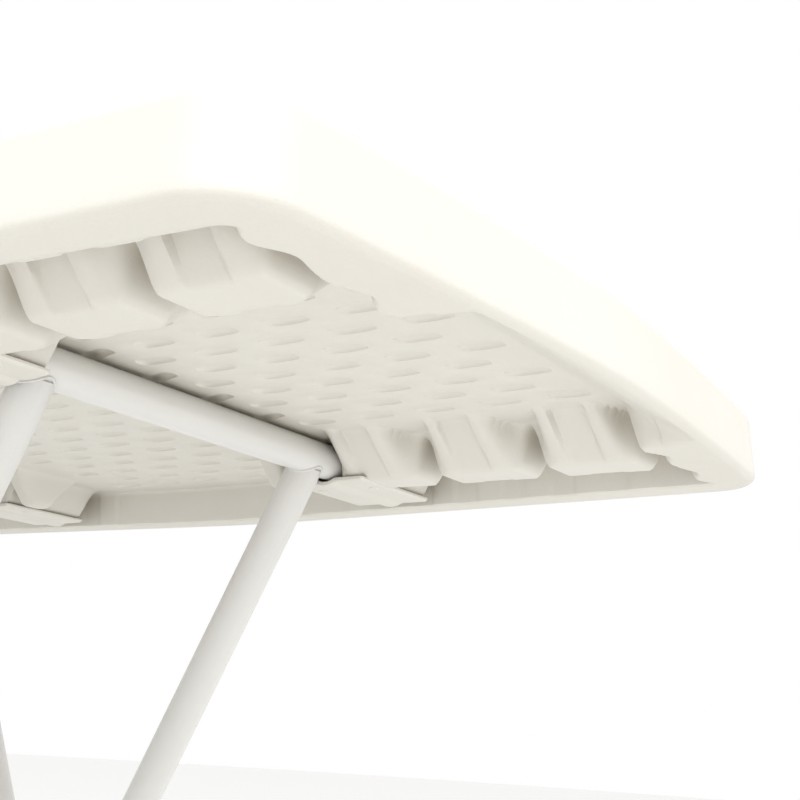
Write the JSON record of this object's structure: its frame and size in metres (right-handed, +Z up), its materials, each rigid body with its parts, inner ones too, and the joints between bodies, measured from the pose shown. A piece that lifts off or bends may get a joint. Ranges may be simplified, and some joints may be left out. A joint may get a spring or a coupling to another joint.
{
  "type": "portable folding board",
  "caption": "Moulded white plastic board on a crossed tube stand; both tube frames fold flat under the board.",
  "frame": {"origin": "centre of the part's box, on the floor that the feet stand on", "axes": "+X along the board, towards the outer frame's hinge; +Y across the board; +Z up"},
  "size_m": [1.016, 0.604, 0.7168],
  "materials": {
    "board_plastic": "fine moulded texture, satin",
    "keeper_plastic": "fine moulded texture, satin",
    "tube_paint": "smooth powder coat, semi-gloss",
    "fitting_plastic": "satin",
    "fastener_steel": "zinc plated"
  },
  "bodies": {
    "board": {"board_top": "board_plastic", "keeper_screws": "fastener_steel", "hinge_keeper_right_front": "keeper_plastic", "hinge_keeper_right_rear": "keeper_plastic", "hinge_keeper_left_front": "keeper_plastic", "hinge_keeper_left_rear": "keeper_plastic"},
    "outer_frame": {"outer_cross_tube": "tube_paint", "outer_leg_front": "tube_paint", "outer_leg_rear": "tube_paint", "outer_floor_bar": "tube_paint", "outer_bush_front": "fitting_plastic", "outer_bush_rear": "fitting_plastic", "outer_foot_cap_front": "fitting_plastic", "outer_foot_cap_rear": "fitting_plastic", "cross_clip_front": "fitting_plastic", "cross_clip_rear": "fitting_plastic", "clip_rivets": "fastener_steel"},
    "inner_frame": {"inner_cross_tube": "tube_paint", "inner_leg_front": "tube_paint", "inner_leg_rear": "tube_paint", "inner_floor_bar": "tube_paint", "inner_bush_front": "fitting_plastic", "inner_bush_rear": "fitting_plastic", "inner_foot_cap_front": "fitting_plastic", "inner_foot_cap_rear": "fitting_plastic"}
  },
  "joints": [
    {"name": "outer_frame_fold", "type": "hinge", "parent": "board", "child": "outer_frame", "pos_m": [0.197, 0, 0.68604], "axis": [0, 1, 0], "range_deg": [0, 57.5]},
    {"name": "inner_frame_fold", "type": "hinge", "parent": "board", "child": "inner_frame", "pos_m": [-0.197, 0, 0.68604], "axis": [0, -1, 0], "range_deg": [0, 57.5]}
  ]
}
